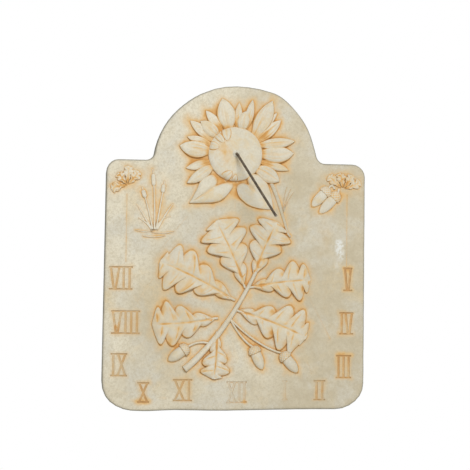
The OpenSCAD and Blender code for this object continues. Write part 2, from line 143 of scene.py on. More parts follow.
def weathered(place):
    x, y, z = place
    w = weathering
    depth = clamp((z + 25) / 25)
    dip = w["hollow"] * (0.5 + 0.5 * drift(x, y, w["hollowSize"], 1)) * depth * ramp(0.6 - z, 0, 0.5)
    wear = w["edgeLoss"] * (0.5 + 0.5 * drift(x, y, 14, 2))
    half, foot = w["halfWidth"], w["foot"]
    side = ramp(abs(x), half - 10, half) * wear
    side += ramp(-x, half - 33, half) * w["leftShoulder"] * ramp(y, -250, -20)
    lift = ramp(-y, foot - 16, foot) * wear + ramp(-y, foot - 39, foot) * w["rightFoot"] * ramp(x, -90, 110)
    lowered = w["footHollow"] * hump(x + 65, 32) + w["leftFoot"] * hump(x + 136, 20)
    lift += ramp(-y, foot - 31, foot) * lowered
    flat = Vector((x - math.copysign(side, x), y + lift))
    if y > w["shoulder"]:
        out = flat - w["domeCentre"]
        turn = math.degrees(math.atan2(out.y, out.x))
        swell = sum(amount * hump(turn - angle, spread) for angle, spread, amount in w["dome"]) - wear * 0.6
        swell *= ramp(out.length, w["domeRadius"] - 11, w["domeRadius"])
        flat += out.normalized() * (swell * ramp(y, w["shoulder"], w["shoulder"] + 28))
    return Vector((flat.x, flat.y, z - dip))


# Making and finishing pieces

haloPlaces = []    # where raised work meets the face: x, y, reach of the stain and its strength
grooveMarks = []   # the same for the sunk lines and numerals


def newForm():
    form = bmesh.new()
    form.verts.layers.float.new("stain")
    return form


def markHalo(verts, reach, strength):
    for vert in verts:
        haloPlaces.append((vert.co.x, vert.co.y, reach, strength))


def grow(form, edges):
    # a further row beside these edges: its points and its open edges. Blender's own extrude and spin
    # order their faces anew in each run, so rows are built here face by face.
    fresh = {}
    for edge in edges:
        for vert in edge.verts:
            if vert not in fresh:
                fresh[vert] = form.verts.new(vert.co, vert)
        a, b = edge.verts
        form.faces.new((b, a, fresh[a], fresh[b]))
    return list(fresh.values()), [form.edges.get([fresh[vert] for vert in edge.verts]) for edge in edges]


def pillow(form, shape, across, lengthwise, reach, strength, foot=None):
    # a grid moved into a cushion-like form by shape(u, v), then closed below the face of the slab
    stain = form.verts.layers.float["stain"]
    grid = bmesh.ops.create_grid(form, x_segments=across, y_segments=lengthwise, size=1)
    for vert in grid["verts"]:
        u = math.sin(vert.co.x * math.pi / 2)
        place, dirt = shape(u, (vert.co.y + 1) / 2)
        vert.co = place
        vert[stain] = dirt
    low, closing = grow(form, [edge for edge in form.edges if edge.is_boundary])
    for vert in low:
        vert.co.z = foot(vert.co) if foot else -footSink
        vert[stain] = 1
    bmesh.ops.edgeloop_fill(form, edges=closing)
    markHalo(low, reach, strength)


def strand(form, path, width, height, sides, rings, grooves, reach, strength, seed=1):
    # a stem along path(t), half sunk in the face, with its width and height given by t
    stain = form.verts.layers.float["stain"]

    def station(t):
        here = path(t)
        ahead = path(min(t + 0.01, 1)) - path(max(t - 0.01, 0))
        turn = Matrix.Rotation(math.atan2(ahead.y, ahead.x) - math.pi / 2, 4, "Z")
        tilt = Matrix.Rotation(math.pi / 2, 4, "X")
        size = Matrix.Diagonal((width(t) / 2, 1, height(t), 1))
        return Matrix.Translation((here.x, here.y, 0)) @ turn @ size @ tilt

    ring = bmesh.ops.create_circle(form, cap_ends=True, segments=sides, radius=1, matrix=station(0))["verts"]
    edges = [edge for edge in form.edges if edge.verts[0] in ring and edge.verts[1] in ring]
    made = list(ring)
    for k in range(1, rings + 1):
        ring, edges = grow(form, edges)
        move = station(k / rings) @ station((k - 1) / rings).inverted()
        bmesh.ops.transform(form, matrix=move, verts=ring)
        made += ring
    bmesh.ops.edgeloop_fill(form, edges=edges)
    for vert in made:
        rough = 1 + 0.07 * drift(vert.co.x, vert.co.y + vert.co.z, 3.1, seed)
        vert.co.z *= rough
        vert[stain] = 1 - ramp(vert.co.z, 0.1, height(0.5) * 0.75)
    if grooves:
        for vert in made:
            vert.co.z += grooves * drift(vert.co.x * 2.2, vert.co.y * 0.6 + vert.co.z * 2, 2.4, seed + 1)
    sinkFoot(form, made, reach, strength)


def lathe(form, points, axis, steps):
    # a profile spun all the way round
    rows = []
    for k in range(steps):
        turn = Matrix.Rotation(2 * math.pi * k / steps, 3, axis)
        rows.append([form.verts.new(turn @ Vector(point)) for point in points])
    for row, after in zip(rows, rows[1:] + rows[:1]):
        for quad in zip(row, row[1:], after[1:], after):
            form.faces.new(quad)


def sinkFoot(form, made, reach, strength):
    # cuts away what lies deep in the slab and closes the cut
    part = set(made)
    edges = [edge for edge in form.edges if edge.verts[0] in part]
    faces = [face for face in form.faces if face.verts[0] in part]
    bmesh.ops.bisect_plane(
        form, geom=list(made) + edges + faces, dist=0.0001,
        plane_co=(0, 0, -footSink), plane_no=(0, 0, -1), clear_outer=True, clear_inner=False,
    )
    rim = [edge for edge in form.edges if edge.is_boundary]
    markHalo({vert: 0 for edge in rim for vert in edge.verts}, reach, strength)
    bmesh.ops.holes_fill(form, edges=rim, sides=0)


def addObject(name, data):
    made = bpy.data.objects.new(name, data)
    bpy.context.scene.collection.objects.link(made)
    return made


def meshObject(name, form, material):
    mesh = bpy.data.meshes.new(name)
    form.to_mesh(mesh)
    form.free()
    mesh.materials.append(material)
    return addObject(name, mesh)


sharpAngle = 0.6   # edges that fold more than this stay crisp where a piece asks for it


def finishPiece(name, form, material, nodes, weather=True, crisp=False):
    bmesh.ops.remove_doubles(form, verts=form.verts, dist=0.01)
    bmesh.ops.dissolve_degenerate(form, edges=form.edges, dist=0.005)
    bmesh.ops.recalc_face_normals(form, faces=form.faces)
    if weather:
        for vert in form.verts:
            vert.co = weathered(vert.co)
    bmesh.ops.transform(form, matrix=faceMatrix, verts=form.verts)
    for face in form.faces:
        face.smooth = True
        face.material_index = 0
    for edge in form.edges:
        edge.smooth = not (crisp and edge.calc_face_angle(0) > sharpAngle)
    piece = meshObject(name, form, material)
    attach(piece, "root")
    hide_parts(*nodes)
    print("made", name, len(piece.data.polygons), "faces")


# Materials

def linear(red, green, blue):  # from the 0 to 255 values that a screen shows
    return tuple((c / 255 / 12.92) if c <= 10 else ((c / 255 + 0.055) / 1.055) ** 2.4
                 for c in (red, green, blue)) + (1,)


class Finish:
    # a small helper that adds and links shader nodes
    def __init__(self, name):
        self.material = bpy.data.materials.new(name)
        self.material.use_nodes = True
        self.tree = self.material.node_tree
        self.shader = self.tree.nodes["Principled BSDF"]
        self.place = self.add("ShaderNodeTexCoord").outputs["Object"]

    def add(self, kind, links=None, **settings):
        node = self.tree.nodes.new(kind)
        for key, value in settings.items():
            setattr(node, key, value)
        for socket, value in (links or {}).items():
            if isinstance(value, bpy.types.NodeSocket):
                self.tree.links.new(value, node.inputs[socket])
            else:
                node.inputs[socket].default_value = value
        return node

    def noise(self, scale, detail=3, roughness=0.5, distortion=0.0, place=None):
        return self.add("ShaderNodeTexNoise", {
            "Vector": place or self.place, "Scale": scale, "Detail": detail,
            "Roughness": roughness, "Distortion": distortion,
        }).outputs["Fac"]

    def span(self, value, low, high, toLow=0.0, toHigh=1.0):
        return self.add("ShaderNodeMapRange", {
            "Value": value, "From Min": low, "From Max": high, "To Min": toLow, "To Max": toHigh,
        }, clamp=True, interpolation_type="SMOOTHSTEP").outputs["Result"]

    def sum(self, operation, a, b, keep=False):
        return self.add("ShaderNodeMath", {0: a, 1: b}, operation=operation, use_clamp=keep).outputs[0]

    def blend(self, share, a, b):  # sockets 6, 7 and 2 are the colours of this node
        return self.add("ShaderNodeMix", {0: share, 6: a, 7: b}, data_type="RGBA").outputs[2]

    def relief(self, height, strength, distance, under=None):
        links = {"Height": height, "Strength": strength, "Distance": distance}
        if under:
            links["Normal"] = under
        return self.add("ShaderNodeBump", links).outputs["Normal"]

    def finish(self, colour, roughness, normal):
        for socket, value in (("Base Color", colour), ("Roughness", roughness), ("Normal", normal)):
            self.tree.links.new(value, self.shader.inputs[socket])
        return self.material


stoneColours = {
    "light": linear(230, 223, 202),
    "field": linear(219, 211, 188),
    "dark": linear(198, 187, 161),
    "grey": linear(212, 209, 196),
    "warm": linear(219, 198, 156),
    "pale": linear(233, 229, 214),
    "ochre": linear(220, 184, 127),
    "rust": linear(203, 147, 76),
    # dark brown for the tightest creases: partly wash settled there, partly painted shade
    "dirt": linear(122, 100, 68),
    "speck": linear(187, 175, 147),
    "scuff": linear(226, 226, 218),
    "side": linear(148, 146, 132),
    "back": linear(192, 184, 166),
    "damp": linear(172, 162, 142),
}

# slow darker patches on the face: x and z of the middle, reach in metres and amount
stoneClouds = [
    (-0.1, -0.24, 0.085, 0.24), (0.03, -0.085, 0.07, 0.2), (0.02, 0.04, 0.05, 0.14),
    (0.09, -0.145, 0.08, 0.3),
]


def castStone(name, pale=0.0, wash=1.0, crevice=1.0):
    f = Finish(name)
    c = stoneColours
    # slow cloudiness, then mottling, then the sandy grain of the casting
    split = f.add("ShaderNodeSeparateXYZ", {"Vector": f.place})
    across = split.outputs["X"]
    cloud = f.noise(9, 4, 0.55)
    # the face is made lighter towards the left and the top, darker lower down, a little lighter again at the
    # foot, and darker in the listed patches
    lean = f.sum("ADD", cloud, f.span(across, -0.16, 0.17, -0.16, 0.2))
    lean = f.sum("ADD", lean, f.span(split.outputs["Z"], 0.0, -0.15, -0.09, 0.15))
    lean = f.sum("ADD", lean, f.span(split.outputs["Z"], -0.2, -0.31, 0, -0.06))
    for x, z, reach, amount in stoneClouds:
        spot = Vector((x, slabLow.y, z))
        away = f.add("ShaderNodeVectorMath", {0: f.place, 1: spot}, operation="DISTANCE").outputs["Value"]
        lean = f.sum("ADD", lean, f.span(away, reach, 0, 0, amount))
    colour = f.blend(f.span(lean, 0.36, 0.74), c["light"], c["dark"])
    colour = f.blend(f.span(f.noise(26, 5, 0.6), 0.44, 0.66, 0, 0.75), colour, c["grey"])
    mottle = f.noise(90, 5, 0.62)
    colour = f.blend(f.span(mottle, 0.35, 0.7, 0, 0.4), colour, c["field"])
    colour = f.blend(f.span(f.noise(17, 6, 0.68, 0.6), 0.5, 0.72, 0, 0.6), colour, c["warm"])
    grain = f.noise(620, 4, 0.7)
    colour = f.blend(f.span(grain, 0.38, 0.7, 0.0, 0.36), colour, c["speck"])
    speck = f.noise(340, 3, 0.65)
    colour = f.blend(f.span(speck, 0.44, 0.66, 0.0, 0.38), colour, c["speck"])
    # raised work is made paler in noisy patches: partly rubbed wear on its high spots, partly painted
    # highlight
    if pale:
        rubbed_and_highlit = f.span(f.noise(60, 4, 0.6), 0.3, 0.62, pale * 0.55, pale)
        colour = f.blend(rubbed_and_highlit, colour, c["pale"])
        colour = f.blend(f.span(f.noise(75, 5, 0.7, 0.5), 0.46, 0.7, 0, 0.7), colour, c["warm"])
    # the wash lies where work meets the face and in every hollow
    stain = f.add("ShaderNodeAttribute", attribute_name="stain").outputs["Fac"]
    near = f.add("ShaderNodeAmbientOcclusion", {"Distance": 0.0055}, samples=8).outputs["AO"]
    hollow = f.span(near, 0.88, 0.42, 0, 0.9)
    patchy = f.span(f.noise(48, 5, 0.65, 0.4), 0.28, 0.7, 0.55, 1.15)
    washed = f.sum("MULTIPLY", f.sum("MAXIMUM", stain, f.sum("MULTIPLY", hollow, crevice)), patchy)
    washed = f.sum("MULTIPLY", washed, wash, True)
    colour = f.blend(f.span(washed, 0.02, 0.75, 0, 0.95), colour, c["ochre"])
    colour = f.blend(f.span(washed, 0.55, 1.05, 0, 0.85), colour, c["rust"])
    # a short-reach occlusion term paints the tightest creases and contacts dark brown: partly settled wash,
    # partly painted shade
    tight = f.add("ShaderNodeAmbientOcclusion", {"Distance": 0.0016}, samples=8).outputs["AO"]
    colour = f.blend(f.span(tight, 0.62, 0.25, 0, 0.6 * crevice), colour, c["dirt"])
    # bare rubbed spots; and the sides painted a darker grey-olive, partly their own duller colour where they
    # never had a wash, partly painted shade
    chipped = f.span(f.noise(240, 4, 0.6, 0.4), 0.4, 0.54, 0.15, 1)
    colour = f.blend(f.sum("MULTIPLY", f.span(stain, -0.08, -0.7), chipped), colour, c["scuff"])
    depth = f.span(split.outputs["Y"], slabLow.y + 0.0005, slabLow.y + 0.0021, 0, 0.9)
    colour = f.blend(depth, colour, f.blend(f.span(mottle, 0.38, 0.7, 0, 0.4), c["side"], c["dark"]))
    # the back was struck off with a float while wet, which left long arcs of the trowel
    strokes = f.add("ShaderNodeMapping", {
        "Vector": f.place, "Rotation": (0, 0.5, 0), "Scale": (14, 14, 90),
    }).outputs["Vector"]
    drag = f.noise(1.6, 5, 0.62, 0.9, strokes)
    backTone = f.blend(f.span(cloud, 0.35, 0.7), c["back"], c["damp"])
    backTone = f.blend(f.span(drag, 0.42, 0.7, 0, 0.3), backTone, c["side"])
    backTone = f.blend(f.span(speck, 0.44, 0.66, 0, 0.3), backTone, c["side"])
    behind = f.span(split.outputs["Y"], slabHigh.y - 0.0018, slabHigh.y - 0.0004)
    colour = f.blend(behind, colour, backTone)
    # fine sand, pin holes and soft tool marks
    sand = f.noise(1500, 3, 0.75)
    pits = f.add("ShaderNodeTexVoronoi", {"Vector": f.place, "Scale": 330.0}, feature="F1")
    holes = f.span(pits.outputs["Distance"], 0.05, 0.22, 0, 1)
    normal = f.relief(mottle, 0.25, 0.0012)
    normal = f.relief(f.sum("MULTIPLY", drag, behind), 0.5, 0.0016, normal)
    normal = f.relief(speck, 0.3, 0.0006, normal)
    normal = f.relief(holes, 0.12, 0.0004, normal)
    normal = f.relief(sand, 0.22, 0.00035, normal)
    roughness = f.span(f.noise(120, 3), 0.3, 0.7, 0.82, 0.95)
    f.shader.inputs["Specular IOR Level"].default_value = 0.3
    return f.finish(colour, roughness, normal)


def rodSteel(name):
    f = Finish(name)
    tone = f.noise(240, 4, 0.6)
    colour = f.blend(f.span(tone, 0.35, 0.65), linear(72, 64, 52), linear(106, 96, 80))
    rust = f.span(f.noise(520, 5, 0.7), 0.5, 0.68, 0, 0.8)
    colour = f.blend(rust, colour, linear(96, 72, 50))
    bright = f.add("ShaderNodeAttribute", attribute_name="stain").outputs["Fac"]
    colour = f.blend(bright, colour, linear(176, 171, 160))
    roughness = f.span(rust, 0, 1, 0.42, 0.72)
    normal = f.relief(f.noise(1400, 3), 0.2, 0.0002)
    f.shader.inputs["Metallic"].default_value = 0.55
    return f.finish(colour, roughness, normal)


def settingResin(name):
    f = Finish(name)
    colour = f.blend(f.span(f.noise(500, 3), 0.35, 0.7), linear(222, 219, 205), linear(196, 188, 166))
    roughness = f.span(f.noise(300, 3), 0.3, 0.7, 0.45, 0.65)
    normal = f.relief(f.noise(900, 2), 0.25, 0.0003)
    return f.finish(colour, roughness, normal)


fieldStone = castStone("field stone")
reliefStone = castStone("relief stone", pale=0.4)
boughStone = castStone("bough stone", pale=0.36, wash=1.1)
budStone = castStone("small relief stone", pale=0.5, crevice=0.7)
washStone = castStone("washed stone", wash=1.15)
darkSteel = rodSteel("dark steel")
paleResin = settingResin("pale resin")
print("materials ready")


# Sunflower

flower = {
    "centre": Vector((-1.9, -1.5)),
    "discRadius": 32,
    "discRelief": 7,
    "domePower": 2.6,       # 2 would be a round dome, more is flatter with a fuller rim
    "seedSpacing": 2.3,
    "curlFoot": 31.2,
    "curlHeight": 1.6,
    "petalRelief": 5.2,
    "backShare": 0.62,
    "petalFoot": 24,
    # petals as root angle, tip angle, reach of the tip and width
    "front": [
        (107, 103.9, 66.7, 22.5), (74, 76.3, 52.3, 15), (41, 55.9, 76.6, 20.5), (26, 13.4, 72, 13.5),
        (4, 1.9, 69, 21), (-33, -30.6, 60.7, 19.5), (205, 212, 66.1, 14), (173, 172.7, 65.9, 20),
        (136, 137.8, 55.9, 16),
    ],
    "back": [
        (84, 86.2, 60.7, 10), (70, 72.9, 67.5, 11), (42, 45.6, 70, 10), (30, 37.8, 67.4, 14),
        (-16, -15.7, 65.8, 10), (195, 197, 60.1, 11), (161, 161.4, 60, 10), (152, 144.7, 65.6, 13),
        (126, 125, 61.2, 12.5),
    ],
    # curls over the rim as root angle, tip angle, distance of the tip from the centre and width
    "florets": [
        (112, 124.7, 17.4, 11.7), (135, 138, 18, 8.5), (162, 160, 20.5, 10.5), (245.5, 259.5, 21, 11.5),
        (268, 272, 24, 7),
    ],
}
petalOutline = [(0, 0.26), (0.17, 0.48), (0.4, 0.94), (0.62, 0.99), (0.82, 0.68), (0.94, 0.3), (1, 0.0)]
petalCrest = [(0, 0.2), (0.17, 0.36), (0.36, 0.9), (0.55, 1), (0.78, 0.88), (0.93, 0.64), (1, 0.42)]
petalStain = {"front": (0.15, 0.32), "back": (0.3, 0.62)}   # where the wash at the foot thins and ends


def petalShape(petal, relief, washEnd, rng):
    rootAngle, tipAngle, reach, width = petal
    a = flower["centre"] + polar(flower["petalFoot"], rootAngle)
    b = flower["centre"] + polar(reach, tipAngle)
    run = b - a
    pull = (a + b) / 2 + turned(run) * rng.uniform(-0.06, 0.06)
    fold = rng.uniform(-0.28, 0.28)
    foldDepth = rng.uniform(0.1, 0.22)
    flutes = rng.uniform(5, 6.6)
    lean = rng.uniform(-0.12, 0.12)
    seed = rng.random() * 40

    def shape(u, v):
        mid = bow(a, pull, b, v)
        side = turned(heading(a, pull, b, v))
        half = width / 2 * along(petalOutline, v)
        dome = max(0, 1 - abs(u) ** 2.6) ** 0.62
        crease = hump(u - fold * (1 - v), 0.12) * clamp(2.2 * (1 - v))
        flute = math.cos(flutes * math.pi * u) * hump(v - 0.3, 0.3) * 0.08
        body = 0.36 + 0.64 * dome - foldDepth * crease + flute * dome + lean * u * dome
        high = relief * along(petalCrest, v) * body
        high += 0.12 * drift(mid.x + u * 9, mid.y, 5, seed)
        dirt = 1.8 * crease * foldDepth + 1.05 * ramp(abs(u), 0.8, 1) + 0.85 * (1 - ramp(v, *washEnd)) + 0.06
        dirt += 0.3 * clamp(-math.cos(flutes * math.pi * u)) * hump(v - 0.36, 0.24)
        dirt += 0.7 * clamp(drift(u * 5, v * 1.6, 1, seed)) * hump(v - 0.5, 0.45)
        place = mid + side * (u * half)
        return Vector((place.x, place.y, max(high, 0.2))), dirt

    return shape


def domeHeight(x, y):
    out = (Vector((x, y)) - flower["centre"]).length / flower["discRadius"]
    power = flower["domePower"]
    return flower["discRelief"] * max(0, 1 - out ** power) ** (1 / power)


def makePetals(name, node, row, relief, seed):
    rng = random.Random(seed)
    form = newForm()
    for petal in flower[row]:
        pillow(form, petalShape(petal, relief, petalStain[row], rng), 26, 32, 5, 1)
    finishPiece(name, form, reliefStone, [node])


def makeDisc():
    form = newForm()
    stain = form.verts.layers.float["stain"]
    power = flower["domePower"]
    steps = 44
    profile = []
    for k in range(steps + 1):
        a = math.radians(90 * (1 - k / steps))
        radius = flower["discRadius"] * math.cos(a) ** (2 / power)
        high = flower["discRelief"] * math.sin(a) ** (2 / power)
        profile.append((radius, 0, high))
    profile += [(flower["discRadius"], 0, -footSink), (0, 0, -footSink)]
    lathe(form, profile, "Z", 150)
    bmesh.ops.remove_doubles(form, verts=form.verts, dist=0.005)
    centre = flower["centre"]
    foot = []
    for vert in form.verts:
        x, y, z = vert.co
        out = math.hypot(x, y) / flower["discRadius"]
        if z > 0.05:
            spacing = flower["seedSpacing"]
            gap = noise.voronoi(Vector((x / spacing, y / spacing, 3.1)))[0][0]
            seedHigh = 0.1 * (1 - ramp(gap, 0.15, 0.55)) * (0.4 + 0.6 * ramp(out, 0.15, 0.75))
            swell = 0.35 * drift(x, y, 11, 5) * ramp(1 - out, 0, 0.2)
            vert.co.z += (seedHigh - 0.05) * ramp(1 - out, 0, 0.08) + swell
            tan = 0.3 * hump(x + 7, 8) * hump(y + 6, 20) + 0.5 * hump(x + 14, 8) * hump(y - 7, 12)
            tan *= 1 + 0.6 * drift(x, y, 5, 8)
            between = 0.12 * ramp(gap, 0.35, 0.7) * ramp(out, 0.2, 0.7)
            vert[stain] = 0.9 * ramp(out, 0.965, 1) + between + tan
        else:
            vert[stain] = 1
            if out > 0.9:
                foot.append(vert)
        vert.co.x += centre.x
        vert.co.y += centre.y
    markHalo(foot, 5, 1)
    finishPiece("sunflower_disc", form, reliefStone, ["flower_disc"])


curlOutline = [(0, 0.95), (0.3, 1), (0.6, 0.82), (0.85, 0.46), (1, 0.05)]


def makeFlorets():
    rng = random.Random(11)
    form = newForm()
    for rootAngle, tipAngle, reach, width in flower["florets"]:
        a = flower["centre"] + polar(flower["curlFoot"], rootAngle)
        b = flower["centre"] + polar(reach, tipAngle)
        fold = rng.uniform(-0.2, 0.2)

        def shape(u, v):
            mid = a.lerp(b, v)
            side = turned(b - a).normalized()
            place = mid + side * (u * width / 2 * along(curlOutline, v))
            dome = max(0, 1 - abs(u) ** 2.4) ** 0.6
            base = domeHeight(place.x, place.y)
            rise = along([(0, 0.3), (0.3, 1), (0.7, 0.9), (1, 0.25)], v)
            high = base + flower["curlHeight"] * rise * (0.2 + 0.8 * dome - 0.3 * hump(u - fold, 0.16))
            dirt = 1.2 * ramp(abs(u), 0.62, 1) + 0.55 * hump(u - fold, 0.2) + 0.7 * ramp(v, 0.8, 1)
            return Vector((place.x, place.y, high)), dirt

        pillow(form, shape, 18, 22, 1, 0, foot=lambda co: domeHeight(co.x, co.y) - 1)
    finishPiece("disc_curls", form, reliefStone, ["disc_florets"])


# The flower's two heart leaves: how far the crease runs, how the leaf bends, how far each half runs
# back beyond the notch, and the share of the half width along the leaf
heartLeaves = [
    {
        "notch": Vector((-23, -38)), "tip": Vector((-55, -59.5)), "width": 34, "crease": 0.98,
        "bend": 0.05, "lean": 0, "backs": (4.5, 15),
        "crest": [(0, 0.5), (0.2, 0.92), (0.5, 1), (0.8, 0.8), (1, 0.4)],
        "outline": [(0, 0.84), (0.12, 0.98), (0.26, 1), (0.42, 0.84), (0.6, 0.55), (0.8, 0.28), (1, 0)],
    },
    {
        "notch": Vector((13, -36)), "tip": Vector((43, -65)), "width": 36, "crease": 0.45,
        "bend": -0.03, "lean": 0.16, "backs": (6.4, 6.4),
        "crest": [(0, 0.66), (0.15, 1), (0.4, 0.9), (0.7, 0.66), (1, 0.32)],
        "outline": [
            (0, 0.8), (0.12, 0.97), (0.26, 1), (0.45, 0.92), (0.62, 0.72), (0.8, 0.43), (0.92, 0.2), (1, 0),
        ],
    },
]
heartBack = [(0, 0), (0.2, 0.6), (0.45, 0.95), (0.7, 1), (0.9, 0.8), (1, 0.5)]


def heartShape(leaf, relief):
    a, b = leaf["notch"], leaf["tip"]
    run = b - a
    pull = (a + b) / 2 + turned(run) * leaf["bend"]

    def shape(u, v):
        mid = bow(a, pull, b, v)
        side = turned(heading(a, pull, b, v))
        half = leaf["width"] / 2 * along(leaf["outline"], v)
        back = run.normalized() * (along(heartBack, abs(u)) * leaf["backs"][u > 0] * (1 - v) ** 3)
        place = mid + side * (u * half) - back
        dome = max(0, 1 - abs(u) ** 2.8) ** 0.6
        cheek = 0.16 * math.sin(math.pi * abs(u)) * (1 - v)
        crease = hump(u, 0.07 + 0.05 * (1 - v)) * (1 - ramp(v, leaf["crease"] - 0.3, leaf["crease"] + 0.05))
        dome *= 1 - 0.55 * (1 - ramp(v, 0, 0.12)) ** 2
        body = 0.34 + (0.66 + leaf["lean"] * (u - 0.6)) * dome + cheek - 0.34 * crease
        high = relief * along(leaf["crest"], v) * body
        high += 0.03 * relief * math.cos(9 * (abs(u) * 0.9 + v * 1.6)) * dome * (1 - v)
        high += 0.14 * drift(place.x, place.y, 5, 9)
        dirt = 0.5 * crease * (1 + 0.5 * drift(place.x, place.y, 4, 3)) + 0.9 * ramp(abs(u), 0.9, 1)
        return Vector((place.x, place.y, max(high, 0.2))), dirt + 0.7 * (1 - ramp(v, 0, 0.07))

    return shape


def makeHeartLeaves():
    form = newForm()
    for leaf in heartLeaves:
        pillow(form, heartShape(leaf, flower["petalRelief"]), 40, 44, 5, 1)
    finishPiece("heart_leaves", form, reliefStone, ["flower_leaves"])


stem = {
    "path": [Vector(p) for p in (
        (36, -24), (41.2, -35.4), (45.4, -44.7), (49.7, -56.3), (53.3, -68), (57, -79.6),
        (60.5, -92), (64, -97),
    )],
    # width and height under the flower, and what each loses by the foot
    "width": (5.6, 2.6),
    "height": (2.0, 0.8),
    # grass blades as root, pull, tip and width
    "blades": [
        ((55, -66), (55, -52), (59.7, -38.5), 1.3), ((55.7, -67.9), (58, -54), (64.3, -40.8), 1.4),
        ((56, -68), (60, -56), (67.9, -44.2), 1.3),
    ],
    "bladeHeight": 0.9,
}


def through(points, t):
    spot = clamp(t) * (len(points) - 1)
    k = min(int(spot), len(points) - 2)
    before, a, b, after = points[max(k - 1, 0)], points[k], points[k + 1], points[min(k + 2, len(points) - 1)]
    s = spot - k
    return 0.5 * (2 * a + (b - before) * s + (2 * before - 5 * a + 4 * b - after) * s ** 2
                  + (3 * a - before - 3 * b + after) * s ** 3)


def makeStem():
    form = newForm()
    strand(
        form, lambda t: through(stem["path"], t), taper(*stem["width"]), taper(*stem["height"]),
        18, 48, 0.25, 4, 0.8, 3,
    )
    for a, pull, b, width in stem["blades"]:
        strand(
            form, arc(a, pull, b), lambda t: width * (1 - 0.6 * t),
            lambda t: stem["bladeHeight"] * (1 - 0.5 * t), 8, 18, 0, 2.5, 0.6, 4,
        )
    finishPiece("flower_stem_strand", form, fieldStone, ["flower_stem"])


makeDisc()
makePetals("back_petal_row", "back_petals", "back", flower["petalRelief"] * flower["backShare"], 5)
makePetals("front_petal_row", "front_petals", "front", flower["petalRelief"], 8)
makeFlorets()
makeHeartLeaves()
makeStem()


# Oak bough

bough = {
    "relief": 6,
    # leaves as root, tip, width, lobes on a side and bend
    "leaves": [
        ((22, -142), (48, -80), 52, 3.6, 0.06), ((10, -154), (-24, -80), 56, 4.2, -0.05),
        ((-4, -170), (-88, -128), 58, 4.4, -0.05), ((-24, -193), (-96, -200), 54, 3.8, 0.05),
        ((20, -156), (88, -147), 48, 3.6, 0.05), ((4, -184), (84, -214), 58, 4.3, 0.05),
        ((-21, -212), (-24, -263), 36, 3.1, 0.03),
    ],
    "stem": [(-58, -252), (-12, -214), (24, -138)],
    "acorns": [
        ((-30, -222), (-60, -230), (-78, -243)), ((-6, -193), (24, -232), (33, -253)),
        ((-6, -193), (60, -238), (75, -256)),
    ],
    "acornWidth": 13,
    "acornRelief": 6.2,
}
oakOutline = [(0, 0.08), (0.12, 0.3), (0.35, 0.68), (0.6, 0.98), (0.78, 0.95), (0.92, 0.62), (1, 0.1)]
oakCrest = [(0, 0.55), (0.15, 0.85), (0.5, 1), (0.85, 0.85), (1, 0.5)]


def oakShape(root, tip, width, relief, lobes, bend, depth=0.52, seed=1):
    a, b = Vector(root), Vector(tip)
    run = b - a
    length = run.length
    pull = (a + b) / 2 + turned(run) * bend

    def shape(u, v):
        mid = bow(a, pull, b, v)
        ahead = heading(a, pull, b, v)
        side = turned(ahead)
        phase = lobes * v + (0.32 if u > 0 else 0.02)
        lobe = abs(math.sin(math.pi * phase)) ** 0.62
        lobe = 1 - (1 - lobe) * ramp(1 - v, 0, 0.12)
        half = width / 2 * along(oakOutline, v) * (1 - depth * (1 - lobe))
        sweep = 0.2 * length * abs(u) ** 1.4 * along(oakOutline, v) * (1 - v) ** 0.6
        place = mid + side * (u * half) + ahead * sweep
        dome = max(0, 1 - abs(u) ** 3) ** 0.6
        # each half swells, the middle is creased, and a fine vein runs out into every lobe
        creaseWidth = (1.5 - 0.9 * v) * (1 + 0.3 * drift(v * 40, seed * 9, 7, 2))
        crease = hump(u * half, creaseWidth) * (1 - ramp(v, 0.8, 0.97))
        spread = (phase % 1 - 0.5) * length / lobes
        vein = hump(spread, 0.8) * ramp(abs(u), 0.02, 0.2) * (1 - ramp(abs(u), 0.55, 0.9))
        hollow = (1 - lobe) * ramp(abs(u), 0.25, 0.8)
        swell = 0.13 * math.sin(math.pi * abs(u)) + 0.07 * math.cos(2 * math.pi * (phase - 0.5)) * abs(u)
        lean = 0.1 * u * math.sin(2.4 * seed + 2.5 * v)
        body = 0.34 + 0.52 * dome + (swell + lean) * dome - 0.16 * hollow - 0.24 * crease - 0.09 * vein * dome
        high = relief * along(oakCrest, v) * body + 0.2 * drift(place.x, place.y, 6, seed)
        patchy = 1 + 0.7 * drift(place.x, place.y, 6, seed + 4)
        streak = clamp(drift(phase * 3.2, abs(u) * 1.5, 1, seed + 2)) * ramp(abs(u), 0.05, 0.2)
        high += 0.03 * relief * drift(phase * 5, u * 2.2, 1, seed + 6) * dome
        dirt = 0.9 * ramp(abs(u), 0.91, 1)
        dirt += (0.75 * crease + 0.5 * vein + 0.4 * hollow + 0.7 * streak + 0.1) * patchy
        return Vector((place.x, place.y, max(high, 0.2))), dirt

    return shape


def makeBough():
    form = newForm()
    for k, (root, tip, width, lobes, bend) in enumerate(bough["leaves"]):
        pillow(form, oakShape(root, tip, width, bough["relief"], lobes, bend, seed=k + 1), 40, 110, 5, 1)
        a, b = Vector(root), Vector(tip)
        start = a - (b - a).normalized() * 4
        strand(form, lambda t: start.lerp(a + (b - a) * 0.12, t), lambda t: 3.4, lambda t: 3, 12, 8, 0, 4, 1)
    finishPiece("oak_leaf_sprays", form, boughStone, ["oak_leaves"])
    form = newForm()
    strand(form, arc(*bough["stem"]), taper(8.4, 3.6), taper(4.9, 1.2), 26, 90, 0.5, 5, 1, 6)
    finishPiece("oak_bough", form, boughStone, ["oak_stem"])


